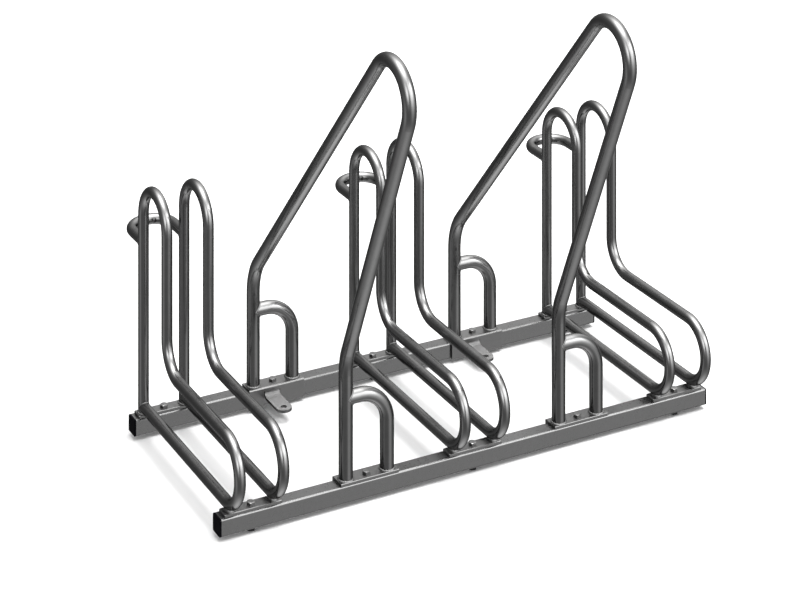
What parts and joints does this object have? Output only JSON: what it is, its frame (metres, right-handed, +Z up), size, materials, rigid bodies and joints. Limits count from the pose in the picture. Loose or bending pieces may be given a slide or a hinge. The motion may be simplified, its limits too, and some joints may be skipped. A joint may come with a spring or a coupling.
{
  "type": "bike rack",
  "caption": "Single-sided ground rack for bicycles: low bent-tube wheel holders with taller lean bars between them, bolted to two square base rails.",
  "frame": {"origin": "on the ground, in the middle of the rack's overall length and depth", "axes": "+X along the rails to the right as seen by somebody who rolls a bicycle in, +Y to the rear, +Z up"},
  "size_m": [0.987, 0.73, 0.8249],
  "materials": {
    "tube_steel": "smooth dark satin steel",
    "rail_steel": "drawn square tube, satin",
    "plate_steel": "rolled flat steel, satin",
    "bolt_steel": "bright turned steel",
    "nut_black": "blackened, oiled",
    "insert_zinc": "zinc plated",
    "cap_plastic": "moulded black plastic"
  },
  "bodies": {
    "root": {"front_rail": "rail_steel", "front_rail_left_cap": "cap_plastic", "front_rail_right_cap": "cap_plastic", "rear_rail": "rail_steel", "rear_rail_left_cap": "cap_plastic", "rear_rail_right_cap": "cap_plastic", "left_holder_left_loop": "tube_steel", "left_holder_right_loop": "tube_steel", "left_holder_wheel_stop": "tube_steel", "left_holder_front_plate": "plate_steel", "left_holder_front_bolt": "bolt_steel", "left_holder_front_nut": "nut_black", "left_holder_rear_plate": "plate_steel", "left_holder_rear_bolt": "bolt_steel", "left_holder_rear_nut": "nut_black", "middle_holder_left_loop": "tube_steel", "middle_holder_right_loop": "tube_steel", "middle_holder_wheel_stop": "tube_steel", "middle_holder_front_plate": "plate_steel", "middle_holder_front_bolt": "bolt_steel", "middle_holder_front_nut": "nut_black", "middle_holder_rear_plate": "plate_steel", "middle_holder_rear_bolt": "bolt_steel", "middle_holder_rear_nut": "nut_black", "right_holder_left_loop": "tube_steel", "right_holder_right_loop": "tube_steel", "right_holder_wheel_stop": "tube_steel", "right_holder_front_plate": "plate_steel", "right_holder_front_bolt": "bolt_steel", "right_holder_front_nut": "nut_black", "right_holder_rear_plate": "plate_steel", "right_holder_rear_bolt": "bolt_steel", "right_holder_rear_nut": "nut_black", "left_lean_bar": "tube_steel", "left_lean_front_hoop": "tube_steel", "left_lean_front_saddle": "plate_steel", "left_lean_front_bolt": "bolt_steel", "left_lean_front_insert": "insert_zinc", "left_lean_rear_hoop": "tube_steel", "left_lean_rear_saddle": "plate_steel", "left_lean_rear_bolt": "bolt_steel", "left_lean_rear_insert": "insert_zinc", "right_lean_bar": "tube_steel", "right_lean_front_hoop": "tube_steel", "right_lean_front_saddle": "plate_steel", "right_lean_front_bolt": "bolt_steel", "right_lean_front_insert": "insert_zinc", "right_lean_rear_hoop": "tube_steel", "right_lean_rear_saddle": "plate_steel", "right_lean_rear_bolt": "bolt_steel", "right_lean_rear_insert": "insert_zinc"}
  },
  "joints": []
}
